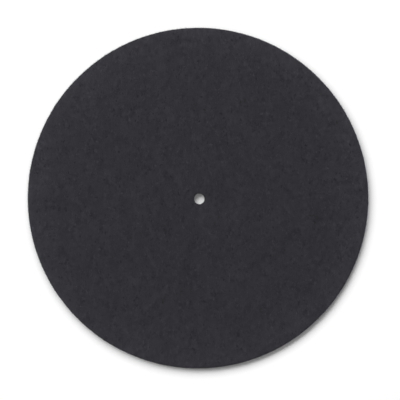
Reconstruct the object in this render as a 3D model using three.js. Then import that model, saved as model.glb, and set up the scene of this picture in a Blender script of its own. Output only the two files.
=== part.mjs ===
// Turntable platter mat: one flat disc of charcoal wool felt with a hole at its centre.
// It is die-cut from a pressed sheet, drops over the platter's spindle and carries the record.
// Millimetres, +Z up. The origin is the centre of the spindle hole, on the underside.

import * as THREE from 'three';

// The cut disc
const MAT_DIAMETER = 295;
const MAT_THICKNESS = 3;
const SPINDLE_HOLE_DIAMETER = 9.4;

// The die presses the felt's upper edges over as it shears, and leaves the lower ones sharper
const RIM_TOP_ROUND = 0.7;
const RIM_BOTTOM_ROUND = 0.35;
const HOLE_TOP_ROUND = 0.4;
const HOLE_BOTTOM_ROUND = 0.25;

// A round takes at most this share of the felt's thickness, so that some cut wall is left
const LARGEST_ROUND_SHARE = 0.45;

// How finely the turned form is faceted
const TURN_STEPS = 144;
const ROUND_STEPS = 4;

// The felt's finish
const FELT_COLOUR = 0x323136;
const FELT_ROUGHNESS = 0.95;

// A quarter circle of the section, anticlockwise, as points of distance from the axis and height
function quarterRound(centreRadius, centreHeight, round, startAngle) {
  const points = [];
  for (let step = 0; step <= ROUND_STEPS; step += 1) {
    const angle = startAngle + (step / ROUND_STEPS) * (Math.PI / 2);
    const radius = centreRadius + round * Math.cos(angle);
    const height = centreHeight + round * Math.sin(angle);
    points.push(new THREE.Vector2(radius, height));
  }
  return points;
}

// The section of the felt on one side of the axis, anticlockwise from the rim's lower edge
function matSection() {
  const rimRadius = MAT_DIAMETER / 2;
  const holeRadius = SPINDLE_HOLE_DIAMETER / 2;
  const largestRound = MAT_THICKNESS * LARGEST_ROUND_SHARE;
  const rimTop = Math.min(RIM_TOP_ROUND, largestRound);
  const rimBottom = Math.min(RIM_BOTTOM_ROUND, largestRound);
  const holeTop = Math.min(HOLE_TOP_ROUND, largestRound);
  const holeBottom = Math.min(HOLE_BOTTOM_ROUND, largestRound);
  const points = [
    ...quarterRound(rimRadius - rimBottom, rimBottom, rimBottom, -Math.PI / 2),
    ...quarterRound(rimRadius - rimTop, MAT_THICKNESS - rimTop, rimTop, 0),
    ...quarterRound(holeRadius + holeTop, MAT_THICKNESS - holeTop, holeTop, Math.PI / 2),
    ...quarterRound(holeRadius + holeBottom, holeBottom, holeBottom, Math.PI),
  ];
  points.push(points[0].clone());
  return points;
}

// The mat is its section turned once about the spindle's axis, which a lathe turns about +Y
function makePlatterMat() {
  const felt = new THREE.MeshStandardMaterial({
    color: FELT_COLOUR,
    roughness: FELT_ROUGHNESS,
    metalness: 0,
  });
  const mat = new THREE.Mesh(new THREE.LatheGeometry(matSection(), TURN_STEPS), felt);
  mat.name = 'platter_mat';
  mat.rotation.x = Math.PI / 2;
  return mat;
}

const turntablePlatterMat = new THREE.Group();
turntablePlatterMat.add(makePlatterMat());

export default turntablePlatterMat;
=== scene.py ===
import math

import bpy
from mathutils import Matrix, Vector


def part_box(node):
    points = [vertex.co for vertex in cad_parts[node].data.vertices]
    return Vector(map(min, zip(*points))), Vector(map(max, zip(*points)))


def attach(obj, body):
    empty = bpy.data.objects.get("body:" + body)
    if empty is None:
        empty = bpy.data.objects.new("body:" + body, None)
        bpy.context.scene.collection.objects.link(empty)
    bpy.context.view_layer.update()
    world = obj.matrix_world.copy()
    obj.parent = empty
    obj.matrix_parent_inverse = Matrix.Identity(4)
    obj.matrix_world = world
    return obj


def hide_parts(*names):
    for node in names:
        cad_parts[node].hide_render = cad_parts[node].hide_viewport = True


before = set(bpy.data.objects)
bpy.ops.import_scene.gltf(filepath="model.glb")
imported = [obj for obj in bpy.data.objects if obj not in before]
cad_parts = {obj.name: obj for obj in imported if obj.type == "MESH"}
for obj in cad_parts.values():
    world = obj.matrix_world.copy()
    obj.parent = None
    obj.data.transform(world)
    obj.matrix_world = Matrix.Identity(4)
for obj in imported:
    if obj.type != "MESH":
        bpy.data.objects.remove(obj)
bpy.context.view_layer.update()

# The felt disc
# The whole mat is one disc of charcoal wool felt, pressed into a sheet about 3 mm thick and die-cut.
# Pressing leaves both faces softly uneven. The die rolls the upper edges over as it shears the rim
# and the spindle hole, and the wool's cut ends stand rough on their walls.
MM = 0.001
mat_low, mat_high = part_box("platter_mat")
mat_radius = (mat_high.x - mat_low.x) / 2
mat_thickness = mat_high.z - mat_low.z
cad_points = [vertex.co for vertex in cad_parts["platter_mat"].data.vertices]
hole_radius = min(math.hypot(point.x, point.y) for point in cad_points)

# The net's rings that the hole takes out, and its rows from mid-wall in the hole to mid-wall at the rim
HOLE_RINGS = 8
WALL_ROWS = 4
ROUND_ROWS = 4
FACE_ROWS = 74
ALL_RINGS = HOLE_RINGS + 2 * WALL_ROWS + 2 * ROUND_ROWS + FACE_ROWS
WELD = 0.004 * MM

# The name of the flat map that a painted copy of a piece is painted through
PAINT_MAP = "OFBake"

DISC_SIZES = {
    "Mat Radius": mat_radius,
    "Hole Radius": hole_radius,
    "Thickness": mat_thickness,
    "Rim Top Round": 0.7 * MM,
    "Rim Bottom Round": 0.35 * MM,
    "Hole Top Round": 0.4 * MM,
    "Hole Bottom Round": 0.25 * MM,
    "Edge Fall": 0.14 * MM,
    "Edge Fall Width": 8 * MM,
    "Pressing Depth": 0.09 * MM,
    "Pressing Width": 16 * MM,
    "Pile Depth": 0.05 * MM,
    "Pile Width": 4.5 * MM,
    "Cut Depth": 0.22 * MM,
    "Cut Width": 1.8 * MM,
}

DARK_WOOL = (0.0103, 0.0098, 0.0128, 1)
LIGHT_WOOL = (0.0280, 0.0270, 0.0326, 1)
SHEEN_TINT = (0.62, 0.62, 0.7, 1)
# Painted light: how far in from the rim the felt's colour is made paler, and by how much at the edge
PAINTED_RIM_LIGHT_WIDTH = 56 * MM
PAINTED_RIM_LIGHT_LIFT = 0.38

# How wide the marks in the felt are, from broad clouds to the finest fuzz
CLOUD_WIDTH = 22 * MM
CROWD_WIDTH = 11 * MM
MOTTLE_WIDTH = 4 * MM
SWERVE_WIDTH = 3 * MM
FLECK_WIDTH = 2.1 * MM
LAYER_WIDTH = 0.9 * MM
FUZZ_WIDTH = 0.45 * MM
BUMP_DEPTH = 0.2 * MM

# Each lot of strands: how many degrees it turns from the Y axis, how wide and how long its strands
# are, and how strongly they show
STRANDS = [
    (6, 0.5 * MM, 6 * MM, 1.0),
    (64, 0.42 * MM, 4 * MM, 0.85),
    (-52, 0.42 * MM, 4 * MM, 0.7),
    (27, 0.26 * MM, 2.6 * MM, 0.6),
]

# How far in from the rim, and out from the hole, the look of the cut walls begins and is whole
RIM_FADE = (0.55 * MM, 0.3 * MM)
BORE_FADE = (0.4 * MM, 0.15 * MM)


class Wire:
    """One output in a node tree. Python's arithmetic on it adds Math nodes to the tree."""

    def __init__(self, tree, output=None):
        self.tree = tree
        self.output = output

    def node(self, kind, settings=None, sockets=None, give=0):
        """Adds a node, with its settings first and then its sockets' values or links."""
        made = self.tree.nodes.new(kind)
        for name, value in (settings or {}).items():
            setattr(made, name, value)
        for name, value in (sockets or {}).items():
            if isinstance(value, Wire):
                self.tree.links.new(value.output, made.inputs[name])
            else:
                made.inputs[name].default_value = value
        return Wire(self.tree, made.outputs[give] if made.outputs else None)

    def beside(self, name):
        """Another output of the same node."""
        return Wire(self.tree, self.output.node.outputs[name])

    def reckon(self, operation, *values):
        return self.node("ShaderNodeMath", {"operation": operation}, dict(enumerate(values)))

    def maths(self, operation, *others):
        return self.reckon(operation, self, *others)

    def __add__(self, other):
        return self.maths("ADD", other)

    __radd__ = __add__

    def __sub__(self, other):
        return self.maths("SUBTRACT", other)

    def __rsub__(self, other):
        return self.reckon("SUBTRACT", other, self)

    def __mul__(self, other):
        return self.maths("MULTIPLY", other)

    __rmul__ = __mul__

    def __truediv__(self, other):
        return self.maths("DIVIDE", other)

    def __rtruediv__(self, other):
        return self.reckon("DIVIDE", other, self)

    def between(self, low, high, shape="LINEAR"):
        """How far this value has come from low to high, held between 0 and 1."""
        sockets = {"Value": self, "From Min": low, "From Max": high}
        return self.node("ShaderNodeMapRange", {"interpolation_type": shape}, sockets)

    def eased(self, low, high):
        return self.between(low, high, "SMOOTHSTEP")

    def parts(self):
        """The three numbers of a vector."""
        split = self.node("ShaderNodeSeparateXYZ", {}, {"Vector": self})
        return split, split.beside("Y"), split.beside("Z")

    def together(self, x, y, z):
        return self.node("ShaderNodeCombineXYZ", {}, {"X": x, "Y": y, "Z": z})

    def vector(self, operation, *others):
        values = dict(enumerate((self, *others)))
        return self.node("ShaderNodeVectorMath", {"operation": operation}, values)

    def times(self, scale):
        """A vector made longer or shorter."""
        sockets = {"Vector": self, "Scale": scale}
        return self.node("ShaderNodeVectorMath", {"operation": "SCALE"}, sockets)

    def kept(self, name, value, kind="FLOAT", domain="POINT"):
        """This geometry with a value kept on it under a name."""
        settings = {"data_type": kind, "domain": domain}
        sockets = {"Geometry": self, "Name": name, "Value": value}
        return self.node("GeometryNodeStoreNamedAttribute", settings, sockets)

    def noise(self, scale, detail=2.0, roughness=0.5, give=0):
        """Noise about 0.5 at this place, with about scale blobs in each unit of length."""
        sockets = {"Vector": self, "Scale": scale, "Detail": detail, "Roughness": roughness}
        return self.node("ShaderNodeTexNoise", {}, sockets, give)

    def blend(self, first, second):
        """The first colour where this value is 0 and the second where it is 1."""
        sockets = {0: self, 6: first, 7: second}
        return self.node("ShaderNodeMix", {"data_type": "RGBA"}, sockets, give=2)


def axis_distance(x, y):
    """How far a place is from the spindle's axis."""
    return (x * x + y * y).maths("SQRT")


def geometry_tree(name, sizes):
    """A tree of geometry nodes with one named input for each size, and those inputs by name."""
    tree = bpy.data.node_groups.new(name, "GeometryNodeTree")
    tree.interface.new_socket("Geometry", in_out="INPUT", socket_type="NodeSocketGeometry")
    for label, size in sizes.items():
        kind = "NodeSocketInt" if isinstance(size, int) else "NodeSocketFloat"
        tree.interface.new_socket(label, in_out="INPUT", socket_type=kind).default_value = size
    tree.interface.new_socket("Geometry", in_out="OUTPUT", socket_type="NodeSocketGeometry")
    entry = tree.nodes.new("NodeGroupInput")
    return Wire(tree), {output.name: Wire(tree, output) for output in entry.outputs if output.name}


def end_tree(geometry, material):
    """Ends a tree of geometry nodes with real geometry in its material, shaded smooth."""
    smooth = geometry.node("GeometryNodeSetShadeSmooth", {}, {"Geometry": geometry})
    real = smooth.node("GeometryNodeRealizeInstances", {}, {"Geometry": smooth})
    dressed = real.node("GeometryNodeSetMaterial", {}, {"Geometry": real, "Material": material})
    dressed.node("NodeGroupOutput", {}, {"Geometry": dressed})


def grown(name, tree, start, sizes):
    """A plain mesh object, as a tree of geometry nodes makes it from a start mesh and its sizes."""
    piece = bpy.data.objects.new(name, start)
    bpy.context.collection.objects.link(piece)
    modifier = piece.modifiers.new(name, "NODES")
    modifier.node_group = tree
    for item in tree.interface.items_tree:
        if item.in_out == "INPUT" and item.name in sizes:
            modifier[item.identifier] = sizes[item.name]
    depsgraph = bpy.context.evaluated_depsgraph_get()
    mesh = bpy.data.meshes.new_from_object(piece.evaluated_get(depsgraph))
    piece.modifiers.remove(modifier)
    piece.data = mesh
    mesh.name = name
    return piece


def surface(name):
    """A new material with an empty node tree, and that tree."""
    material = bpy.data.materials.new(name)
    material.use_nodes = True
    material.node_tree.nodes.clear()
    return material, Wire(material.node_tree)


def disc_tree(material):
    """The disc: a square net drawn round into rings, once for each face, and welded at mid-wall."""
    net, size = geometry_tree("felt_disc", DISC_SIZES)
    side = 2.0 * ALL_RINGS
    count = 2 * ALL_RINGS + 1
    sockets = {"Size X": side, "Size Y": side, "Vertices X": count, "Vertices Y": count}
    grid = net.node("GeometryNodeMeshGrid", {}, sockets)

    # Each square ring of the net becomes a circle, with eight more cells than the ring inside it
    x, y, _ = net.node("GeometryNodeInputPosition").parts()
    long_x = x.maths("ABSOLUTE")
    long_y = y.maths("ABSOLUTE")
    ring = long_x.maths("MAXIMUM", long_y)
    turn = long_x.maths("MINIMUM", long_y) / ring * (math.pi / 4)
    nearer_x = long_x.maths("GREATER_THAN", long_y - 0.5)
    nearer_y = 1 - nearer_x
    way_x = x.maths("SIGN") * (turn.maths("COSINE") * nearer_x + turn.maths("SINE") * nearer_y)
    way_y = y.maths("SIGN") * (turn.maths("SINE") * nearer_x + turn.maths("COSINE") * nearer_y)
    in_hole = ring.maths("LESS_THAN", HOLE_RINGS - 0.5)
    holed = grid.node("GeometryNodeDeleteGeometry", {}, {"Geometry": grid, "Selection": in_hole})

    # The rows run up the hole's wall, over its round, across the face, over the rim's round and down
    round_start = HOLE_RINGS + WALL_ROWS
    face_start = round_start + ROUND_ROWS
    rim_start = face_start + FACE_ROWS
    rim_wall_start = rim_start + ROUND_ROWS
    up = ring.between(HOLE_RINGS, round_start)
    hole_turn = ring.between(round_start, face_start) * (math.pi / 2)
    out = ring.between(face_start, rim_start)
    rim_turn = ring.between(rim_start, rim_wall_start) * (math.pi / 2)
    down = ring.between(rim_wall_start, ALL_RINGS)
    half = size["Thickness"] / 2
    shell = net.node("GeometryNodeJoinGeometry")
    for name, facing in (("Top", 1), ("Bottom", -1)):
        hole_round = size[f"Hole {name} Round"]
        rim_round = size[f"Rim {name} Round"]
        face_width = size["Mat Radius"] - rim_round - size["Hole Radius"] - hole_round
        radius = (
            size["Hole Radius"]
            + hole_round * (1 - hole_turn.maths("COSINE"))
            + face_width * out
            + rim_round * rim_turn.maths("SINE")
        )
        height = (
            (half - hole_round) * up
            + hole_round * hole_turn.maths("SINE")
            - rim_round * (1 - rim_turn.maths("COSINE"))
            - (half - rim_round) * down
        )
        place = net.together(way_x * radius, way_y * radius, half + height * facing)

        # The map is the felt unrolled flat. Both faces lie on it, one behind the other
        unrolled = (
            (half - hole_round) * (up - 1)
            + hole_round * (hole_turn + 1 - math.pi / 2)
            + size["Hole Radius"]
            + face_width * out
            + rim_round * rim_turn
            + (half - rim_round) * down
        )
        share = unrolled / (size["Mat Radius"] + half) / 2
        spread = net.together(0.5 + way_x * share, 0.5 + way_y * share, 0.0)
        face = holed.kept(PAINT_MAP, spread, "FLOAT2", "CORNER")
        face = net.node("GeometryNodeSetPosition", {}, {"Geometry": face, "Position": place})
        if facing < 0:
            face = face.node("GeometryNodeFlipFaces", {}, {"Mesh": face})
        net.tree.links.new(face.output, shell.output.node.inputs[0])
    sockets = {"Geometry": shell, "Distance": WELD}
    welded = shell.node("GeometryNodeMergeByDistance", {}, sockets)

    # The unevenness is pressed in, so that no face stands above the sheet's thickness
    spot = net.node("GeometryNodeInputPosition")
    spot_x, spot_y, spot_z = spot.parts()
    from_axis = axis_distance(spot_x, spot_y)
    normal = net.node("GeometryNodeInputNormal")
    on_wall = 1 - normal.parts()[2].maths("ABSOLUTE").eased(0.35, 0.95)
    pressed = spot.noise(1 / size["Pressing Width"]).eased(0.25, 0.75) * size["Pressing Depth"]
    piled = spot.noise(1 / size["Pile Width"], 3.0, 0.6).eased(0.25, 0.75) * size["Pile Depth"]
    torn = spot.noise(1 / size["Cut Width"], 3.0, 0.6).eased(0.2, 0.8) * size["Cut Depth"]
    inward = normal.times((pressed + piled + torn * on_wall) * -1)

    # The die draws the upper face down a little as it comes to the rim
    falling = from_axis.between(size["Mat Radius"] - size["Edge Fall Width"], size["Mat Radius"])
    fallen = falling * falling * spot_z / size["Thickness"] * size["Edge Fall"]
    offset = inward.vector("SUBTRACT", net.together(0.0, 0.0, fallen))
    uneven = welded.node("GeometryNodeSetPosition", {}, {"Geometry": welded, "Offset": offset})
    end_tree(uneven, material)
    return net.tree


def strands(place, degrees, width, length, strength):
    """Fine wandering lines that lie mostly one way: strength on a line and 0 between the lines."""
    sockets = {"Vector": place, "Rotation": (0, 0, math.radians(degrees))}
    sockets |= {"Location": (degrees, 0, 0), "Scale": (width, length, width)}
    drawn_out = place.node("ShaderNodeMapping", {"vector_type": "TEXTURE"}, sockets)
    crest = 1 - (drawn_out.noise(1.0, 1.0) - 0.5).maths("ABSOLUTE") * 9
    return crest.maths("MAXIMUM", 0.0) * strength


def felt_material():
    """Charcoal felt: dark and lighter wool matted together, with flecks, and painted light that makes it
    paler towards the rim.
    """
    material, net = surface("charcoal_felt")
    x, y, z = net.node("ShaderNodeTexCoord", give="Object").parts()
    from_axis = axis_distance(x, y)

    # The pattern is the same above and below mid-thickness, because both faces share the map
    place = net.together(x, y, (z - mat_thickness / 2).maths("ABSOLUTE"))

    # The sheet was carded one way, so its mottle runs a little longer along Y
    carded = place.vector("MULTIPLY", (1, 0.75, 1))
    cloud = carded.noise(1 / CLOUD_WIDTH)
    mottle = carded.noise(1 / MOTTLE_WIDTH, 2.5, 0.62)

    # Single strands lie over the mottle in four directions, and all swerve alike
    swerve = place.noise(1 / SWERVE_WIDTH, 1.0, give="Color").vector("SUBTRACT", (0.5, 0.5, 0.5))
    bent = place.vector("ADD", swerve.times(SWERVE_WIDTH))
    matted = strands(bent, *STRANDS[0])
    for lot in STRANDS[1:]:
        matted = matted.maths("MAXIMUM", strands(bent, *lot))
    fuzz = place.noise(1 / FUZZ_WIDTH, 3.0, 0.7)

    # Pale flecks of undyed wool, and dark specks of painted shade where the face is open, lie thicker in
    # some places
    fleck_noise = place.vector("MULTIPLY", (1.1, 0.7, 1)).noise(1 / FLECK_WIDTH, 1.0)
    flecks = fleck_noise.eased(0.67, 0.76)
    # Painted shade: these specks darken the felt's colour where pits would hold shade
    painted_pit_shade = fleck_noise.eased(0.34, 0.24)
    crowded = 0.5 + place.noise(1 / CROWD_WIDTH, 1.0).eased(0.35, 0.65)

    # The sheet's layers show on the cut walls as thin level lines
    layers = place.vector("MULTIPLY", (0.25, 0.25, 2.2)).noise(1 / LAYER_WIDTH, 2.0, 0.6)
    on_rim = from_axis.eased(mat_radius - RIM_FADE[0], mat_radius - RIM_FADE[1])
    in_bore = from_axis.eased(hole_radius + BORE_FADE[0], hole_radius + BORE_FADE[1])
    on_wall = on_rim + in_bore

    light = (
        0.5
        + (cloud - 0.5) * 0.5
        + (mottle - 0.5) * crowded * 1.45
        + (matted - 0.5) * 0.7
        + (fuzz - 0.5) * 0.6
        + flecks * crowded * 0.75
        - painted_pit_shade * crowded * 0.8
        + (layers - 0.5) * on_wall * 1.2
    )
    # Painted light: the felt's colour grows paler over the last few centimetres to the rim, and the pale
    # flecks add their own real lift
    painted_rim_light = from_axis.between(mat_radius - PAINTED_RIM_LIGHT_WIDTH, mat_radius)
    rim_light_and_flecks = 1 + painted_rim_light.maths("POWER", 3.0) * PAINTED_RIM_LIGHT_LIFT + flecks * crowded * 0.14
    colour = light.between(0.0, 1.0).blend(DARK_WOOL, LIGHT_WOOL).times(rim_light_and_flecks)
    height = mottle * 0.4 + matted * 0.45 + fuzz * 0.6 + layers * on_wall * 0.6
    bump = {"Strength": 0.8, "Distance": BUMP_DEPTH, "Height": height}
    sockets = {
        "Base Color": colour,
        "Roughness": 0.93 + (mottle - 0.5) * 0.16,
        "Specular IOR Level": 0.12,
        "Sheen Weight": 0.14,
        "Sheen Roughness": 0.6,
        "Sheen Tint": SHEEN_TINT,
        "Normal": net.node("ShaderNodeBump", {}, bump),
    }
    finish = net.node("ShaderNodeBsdfPrincipled", {}, sockets)
    net.node("ShaderNodeOutputMaterial", {}, {"Surface": finish})
    return material


felt_disc = grown("felt_disc", disc_tree(felt_material()), bpy.data.meshes.new("start"), DISC_SIZES)
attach(felt_disc, "root")
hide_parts("platter_mat")

# The loose wool
# Single fibres have worked out of the felt. On the faces they lie almost flat, mostly along the way
# the wool was carded. On the cut walls their ends stand out and soften the mat's outline.
FIBRE_POINTS = 7
FIBRE_SIDES = 3

# How deep a fibre lies in the felt and how much it thins at its ends, as shares of its thickness,
# and how wide it lies on the map
ROOT_SINK = 0.3
END_THINNING = 0.65
SHADE_WIDTH = 0.02

DARK_FIBRE = (0.016, 0.0155, 0.0195, 1)
GREY_FIBRE = (0.05, 0.048, 0.056, 1)
UNDYED_FIBRE = (0.13, 0.126, 0.135, 1)

FIBRE_SIZES = {
    "Least Upward": 0.8,
    "Most Upward": 1.1,
    "Innermost Root": 0.0,
    "Outermost Root": 2 * mat_radius,
    "Fibres per Square Metre": 70000.0,
    "Shortest": 1.8 * MM,
    "Longest": 5 * MM,
    "Thickness": 0.065 * MM,
    "Arch": 0.14 * MM,
    "Reach Out": 0.1 * MM,
    "Curl": 1.6 * MM,
    "Curl Width": 3.2 * MM,
    "Smallest Radius": hole_radius + 0.35 * MM,
    "Largest Radius": mat_radius - 0.35 * MM,
    "Lowest": 0.045 * MM,
    "Highest": mat_thickness + 0.4 * MM,
    "Seed": 1,
}


def fibre_tree(material):
    """Fibres strewn over the part of the felt that faces up, down or sideways, as asked."""
    net, size = geometry_tree("wool_fibres", FIBRE_SIZES)

    def chance(low, high, extra_seed):
        sockets = {2: low, 3: high, 8: size["Seed"] + extra_seed}
        return net.node("FunctionNodeRandomValue", {}, sockets, give=1)

    def chance_for_fibre(low, high, extra_seed):
        settings = {"domain": "CURVE"}
        sockets = {"Value": chance(low, high, extra_seed)}
        return net.node("GeometryNodeFieldOnDomain", settings, sockets)

    # A straight fibre lies flat on the felt at each root, turned more often along Y than across it
    spot = net.node("GeometryNodeInputPosition")
    x, y, _ = spot.parts()
    from_axis = axis_distance(x, y)
    upward = net.node("GeometryNodeInputNormal").parts()[2]
    chosen = upward.maths("GREATER_THAN", size["Least Upward"])
    chosen = chosen * upward.maths("LESS_THAN", size["Most Upward"])
    chosen = chosen * from_axis.maths("GREATER_THAN", size["Innermost Root"])
    chosen = chosen * from_axis.maths("LESS_THAN", size["Outermost Root"])
    sockets = {"Mesh": size["Geometry"], "Selection": chosen, "Seed": size["Seed"]}
    sockets["Density"] = size["Fibres per Square Metre"]
    roots = net.node("GeometryNodeDistributePointsOnFaces", {}, sockets)
    normal = roots.beside("Normal")
    ends = {"Start": (-0.5, 0, 0), "End": (0.5, 0, 0)}
    line = net.node("GeometryNodeCurvePrimitiveLine", {}, ends)
    line = line.node("GeometryNodeResampleCurve", {}, {"Curve": line, "Count": FIBRE_POINTS})
    swing = chance(-1.0, 1.0, 1)
    heading = (1 + swing * swing.maths("ABSOLUTE")) * (math.pi / 2)
    turned = net.node("FunctionNodeEulerToRotation", {}, {0: net.together(0.0, 0.0, heading)})
    sockets = {"Rotation": turned, "Vector": normal}
    laid = net.node("FunctionNodeAlignRotationToVector", {"axis": "Z"}, sockets)
    length = size["Shortest"] + (size["Longest"] - size["Shortest"]) * chance(0.0, 1.0, 2)
    sockets = {"Points": roots, "Instance": line, "Rotation": laid}
    sockets["Scale"] = net.together(length, length, length)
    strewn = roots.node("GeometryNodeInstanceOnPoints", {}, sockets)
    strewn = strewn.node("GeometryNodeRealizeInstances", {}, {"Geometry": strewn})

    # Each one then curls over the face, arches off it, lifts at one end, and keeps off the floor
    along = net.node("GeometryNodeSplineParameter")
    arch = along * (1 - along) * 4 * size["Arch"] * chance_for_fibre(0.0, 1.0, 3)
    reach = along * along * size["Reach Out"] * chance_for_fibre(0.0, 1.0, 4)
    curl_noise = spot.noise(1 / size["Curl Width"], 1.0, give="Color")
    curl = curl_noise.vector("SUBTRACT", (0.5, 0.5, 0.5)).times(size["Curl"] * 2)
    curl = curl.vector("SUBTRACT", normal.times(curl.vector("DOT_PRODUCT", normal).beside("Value")))
    off_face = normal.times(arch + reach - size["Thickness"] * ROOT_SINK)
    x, y, z = spot.vector("ADD", curl).vector("ADD", off_face).parts()
    from_axis = axis_distance(x, y)
    held = from_axis.maths("MAXIMUM", size["Smallest Radius"])
    held = held.maths("MINIMUM", size["Largest Radius"]) / from_axis
    level = z.maths("MAXIMUM", size["Lowest"]).maths("MINIMUM", size["Highest"])
    place = net.together(x * held, y * held, level)
    bent = strewn.node("GeometryNodeSetPosition", {}, {"Geometry": strewn, "Position": place})

    # It has a shade of its own, and it thins towards its ends
    shaded = bent.kept("shade", chance_for_fibre(0.0, 1.0, 5)).kept("along", along)
    from_middle = (along * 2 - 1).maths("ABSOLUTE")
    half_thick = size["Thickness"] * (1 - from_middle * from_middle * END_THINNING) / 2
    ring_sockets = {"Resolution": FIBRE_SIDES, "Radius": 1.0}
    ring = net.node("GeometryNodeCurvePrimitiveCircle", {}, ring_sockets).kept("around", along)
    sockets = {"Curve": shaded, "Profile Curve": ring, "Scale": half_thick, "Fill Caps": True}
    solid = shaded.node("GeometryNodeCurveToMesh", {}, sockets)

    # On the map, all fibres lie side by side in the order of their shades
    shade, along, around = (
        net.node("GeometryNodeInputNamedAttribute", {}, {"Name": name})
        for name in ("shade", "along", "around")
    )
    spread = net.together(shade * (1 - SHADE_WIDTH) + around * SHADE_WIDTH, along, 0.0)
    end_tree(solid.kept(PAINT_MAP, spread, "FLOAT2", "CORNER"), material)
    return net.tree


def fibre_material():
    """Loose fibres: most as dark as the felt, some greyer, a few almost undyed, all with painted shade
    at the root, where it lies in the felt, and paler to the tip.
    """
    material, net = surface("loose_wool")
    shade = net.node("ShaderNodeAttribute", {"attribute_name": "shade"}, give="Fac")
    along = net.node("ShaderNodeAttribute", {"attribute_name": "along"}, give="Fac")
    dyed = shade.between(0.0, 0.9).blend(DARK_FIBRE, GREY_FIBRE)
    mixed = shade.eased(0.93, 1.0).blend(dyed, UNDYED_FIBRE)
    sockets = {
        # Painted shade: each fibre is darker at its root, where it lies in the felt, and paler towards
        # its lifted tip
        "Base Color": mixed.times(0.8 + along * 0.4),
        "Roughness": 0.88 - along * 0.14,
        "Specular IOR Level": 0.2,
        "Sheen Weight": 0.1,
        "Sheen Roughness": 0.5,
    }
    finish = net.node("ShaderNodeBsdfPrincipled", {}, sockets)
    net.node("ShaderNodeOutputMaterial", {}, {"Surface": finish})
    return material


underside_sizes = FIBRE_SIZES | {
    "Least Upward": -1.1,
    "Most Upward": -0.8,
    "Fibres per Square Metre": 24000.0,
    "Arch": 0.06 * MM,
    "Reach Out": 0.04 * MM,
    "Seed": 21,
}
rim_sizes = FIBRE_SIZES | {
    "Least Upward": -0.7,
    "Most Upward": 0.8,
    "Innermost Root": mat_radius - 5 * MM,
    "Fibres per Square Metre": 2050000.0,
    "Shortest": 0.8 * MM,
    "Longest": 2.2 * MM,
    "Thickness": 0.055 * MM,
    "Arch": 0.35 * MM,
    "Reach Out": 1.0 * MM,
    "Curl": 0.5 * MM,
    "Curl Width": 1.6 * MM,
    "Largest Radius": mat_radius + 1.2 * MM,
    "Seed": 41,
}
bore_sizes = rim_sizes | {
    "Innermost Root": 0.0,
    "Outermost Root": hole_radius + 1 * MM,
    "Fibres per Square Metre": 11000000.0,
    "Longest": 1.8 * MM,
    "Thickness": 0.06 * MM,
    "Arch": 0.2 * MM,
    "Reach Out": 0.5 * MM,
    "Smallest Radius": hole_radius - 0.9 * MM,
    "Seed": 61,
}
wool_tree = fibre_tree(fibre_material())
face_fibres = grown("face_fibres", wool_tree, felt_disc.data, FIBRE_SIZES)
underside_fibres = grown("underside_fibres", wool_tree, felt_disc.data, underside_sizes)
rim_fibres = grown("rim_fibres", wool_tree, felt_disc.data, rim_sizes)
bore_fibres = grown("bore_fibres", wool_tree, felt_disc.data, bore_sizes)
loose_wool = [face_fibres, underside_fibres, rim_fibres, bore_fibres]
for fibres in loose_wool:
    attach(fibres, "root")

# The floor
# A plain white sweep that the mat lies on. Near the mat it takes the lamp's light and the mat's
# shadow, and further off it turns into even white, which has no horizon.
FLOOR_RADIUS = 14.0
FLOOR_WHITE = (0.965, 0.965, 0.965, 1)
FLOOR_GLOW = 0.13
SHADOW_REACH = 13 * MM
WHITE_FROM = 0.2
WHITE_BY = 0.55


def seen_rays(net):
    """1 for what the camera sees, straight or in a glossy or clear surface, and 0 for other light."""
    rays = net.node("ShaderNodeLightPath")
    seen = rays.maths("MAXIMUM", rays.beside("Is Glossy Ray"))
    return seen.maths("MAXIMUM", rays.beside("Is Transmission Ray"))


def floor_material():
    """White paper near the mat and an even white glow further off, which lights nothing."""
    material, net = surface("white_sweep")
    x, y, _ = net.node("ShaderNodeTexCoord", give="Object").parts()
    from_axis = axis_distance(x, y)
    past_shadow = from_axis.eased(mat_radius, mat_radius + SHADOW_REACH)
    far = from_axis.eased(WHITE_FROM, WHITE_BY)
    seen = seen_rays(net)
    paper = net.node("ShaderNodeBsdfDiffuse", {}, {"Color": FLOOR_WHITE})
    glow = net.node("ShaderNodeEmission", {}, {"Strength": seen * past_shadow * FLOOR_GLOW})
    near = net.node("ShaderNodeAddShader", {}, {0: paper, 1: glow})
    white = net.node("ShaderNodeEmission", {}, {"Strength": seen})
    both = net.node("ShaderNodeMixShader", {}, {0: far, 1: near, 2: white})
    net.node("ShaderNodeOutputMaterial", {}, {"Surface": both})
    return material


floor_mesh = bpy.data.meshes.new("floor")
corners = [(-1, -1), (1, -1), (1, 1), (-1, 1)]
floor_points = [(x * FLOOR_RADIUS, y * FLOOR_RADIUS, 0) for x, y in corners]
floor_mesh.from_pydata(floor_points, [], [(0, 1, 2, 3)])
floor_mesh.materials.append(floor_material())
floor = bpy.data.objects.new("floor", floor_mesh)
bpy.context.collection.objects.link(floor)

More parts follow.
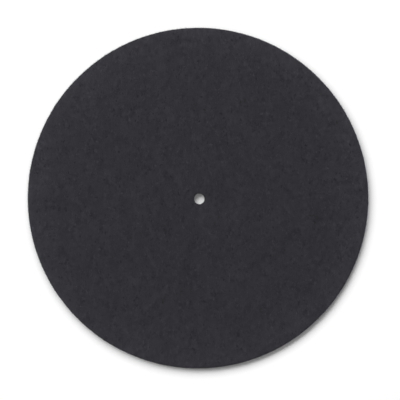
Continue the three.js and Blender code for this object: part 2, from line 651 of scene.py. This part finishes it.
# The lamp and the room
# One long softbox stands low, above and left of the mat, and the white room gives back about a
# third of its light from all sides.
LAMP_DISTANCE = 3.4
LAMP_AZIMUTH = math.radians(121.0)
LAMP_ELEVATION = math.radians(28.0)
LAMP_WIDTH = 2.2 * LAMP_DISTANCE
LAMP_HEIGHT = 0.5 * LAMP_DISTANCE
LAMP_ENERGY = 305.0
ROOM_LEVEL = 0.26

lamp_data = bpy.data.lights.new("softbox", "AREA")
lamp_data.shape = "RECTANGLE"
lamp_data.size = LAMP_WIDTH
lamp_data.size_y = LAMP_HEIGHT
lamp_data.energy = LAMP_ENERGY
lamp = bpy.data.objects.new("softbox", lamp_data)
bpy.context.collection.objects.link(lamp)
ground_distance = LAMP_DISTANCE * math.cos(LAMP_ELEVATION)
lamp.location = (
    ground_distance * math.cos(LAMP_AZIMUTH),
    ground_distance * math.sin(LAMP_AZIMUTH),
    LAMP_DISTANCE * math.sin(LAMP_ELEVATION),
)
lamp.rotation_euler = (math.pi / 2 - LAMP_ELEVATION, 0, LAMP_AZIMUTH + math.pi / 2)

room = bpy.data.worlds.new("white_room")
bpy.context.scene.world = room
room.use_nodes = True
room.node_tree.nodes.clear()
net = Wire(room.node_tree)
seen = seen_rays(net)
sockets = {"Color": (1, 1, 1, 1), "Strength": ROOM_LEVEL + seen * (1 - ROOM_LEVEL)}
net.node("ShaderNodeOutputWorld", {}, {"Surface": net.node("ShaderNodeBackground", {}, sockets)})

# The camera
# It looks down on the mat with the photograph's up along +Y. It leans from straight down by less
# than 3 degrees, so that the hole shows a little right of and below the middle of the outline.
LENS = 80.0
SENSOR = 36.0
FRAME_WIDTH = 345.7 * MM
LEAN_RIGHT = math.radians(2.3)
LEAN_DOWN = math.radians(1.33)
AIM = Vector((0.58 * MM, -1.01 * MM, mat_thickness))

camera_data = bpy.data.cameras.new("camera")
camera_data.lens = LENS
camera_data.sensor_width = SENSOR
camera = bpy.data.objects.new("camera", camera_data)
bpy.context.collection.objects.link(camera)
camera.rotation_euler = (-LEAN_DOWN, -LEAN_RIGHT, 0)
away = Vector((0, 0, FRAME_WIDTH * LENS / SENSOR))
camera.location = AIM + camera.rotation_euler.to_matrix() @ away
bpy.context.scene.camera = camera
bpy.context.scene.view_settings.view_transform = "Standard"
